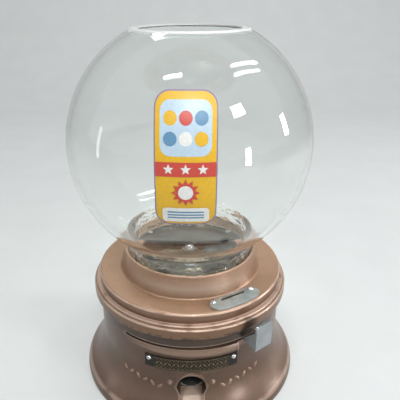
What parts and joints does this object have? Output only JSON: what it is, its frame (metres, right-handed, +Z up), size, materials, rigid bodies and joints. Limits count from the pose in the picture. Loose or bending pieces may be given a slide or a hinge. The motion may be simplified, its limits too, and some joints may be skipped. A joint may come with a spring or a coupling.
{
  "type": "gumball machine",
  "caption": "Countertop gumball machine: glass globe open at the top on a flared painted metal base, with a coin slot, a side lever that turns the dispensing wheel, and a front outlet.",
  "frame": {"origin": "centre of the machine's axis on the table the foot stands on", "axes": "+Z up along the globe's axis, -Y towards the front with the coin slot and outlet, +X to the viewer's right"},
  "size_m": [0.185, 0.185, 0.2821],
  "materials": {
    "hammered_copper_paint": "hammered copper-brown paint on cast aluminium",
    "clear_glass": "blown soda-lime glass",
    "cork": "pressed cork sheet",
    "zinc_plate": "zinc plated pressed steel",
    "black_plate": "black enamel on sheet",
    "bare_aluminium": "cast and turned aluminium",
    "chrome": "bright nickel chrome",
    "steel": "plain steel",
    "brass": "turned brass",
    "spring_steel": "drawn spring wire"
  },
  "bodies": {
    "machine": {"base_casting": "hammered_copper_paint", "top_collar": "hammered_copper_paint", "bottom_plate": "hammered_copper_paint", "glass_globe": "clear_glass", "globe_gasket": "cork", "coin_slot_plate": "zinc_plate", "coin_plate_rivets": "zinc_plate", "coin_guide": "zinc_plate", "name_plate": "black_plate", "name_plate_pins": "brass", "mechanism_plate": "steel", "collar_screws": "steel", "shaft_bearing": "brass", "ball_guard": "bare_aluminium", "guard_screws": "steel", "return_spring": "spring_steel", "spring_post": "steel", "gum_chute": "zinc_plate", "chute_screws": "steel", "lock_body": "brass", "lock_nut": "brass"},
    "lever": {"vend_lever": "chrome", "lever_hub": "brass", "pawl_pin": "steel", "spring_pin": "steel"},
    "pawl": {"drive_pawl": "steel"},
    "wheel": {"gumball_wheel": "bare_aluminium", "wheel_shaft": "steel", "cap_nut": "chrome", "ratchet_wheel": "steel", "shaft_clip": "spring_steel"},
    "lock": {"lock_plug": "brass", "lock_cam": "steel", "cam_screw": "steel"}
  },
  "joints": [
    {"name": "lever_swing", "type": "hinge", "parent": "machine", "child": "lever", "pos_m": [0, 0, 0.0658], "axis": [0, 0, -1], "range_deg": [0, 72], "stiffness_Nm_per_rad": 0.12, "springref_deg": -20.05, "deforming": ["return_spring"]},
    {"name": "pawl_swing", "type": "hinge", "parent": "lever", "child": "pawl", "pos_m": [0.03428, -0.02059, 0.0685], "axis": [0, 0, -1], "range_deg": [0, 4.2], "stiffness_Nm_per_rad": 0.002, "springref_deg": -11.46},
    {"name": "wheel_turn", "type": "hinge", "parent": "machine", "child": "wheel", "pos_m": [0, 0, 0.083], "axis": [0, 0, -1], "range_deg": [0, 72]},
    {"name": "lock_turn", "type": "hinge", "parent": "machine", "child": "lock", "pos_m": [0, 0.058, 0.01], "axis": [0, 0, 1], "range_deg": [0, 90]}
  ],
  "couplings": [
    {"joint": "wheel_turn", "follows": "lever_swing", "ratio": 1}
  ]
}
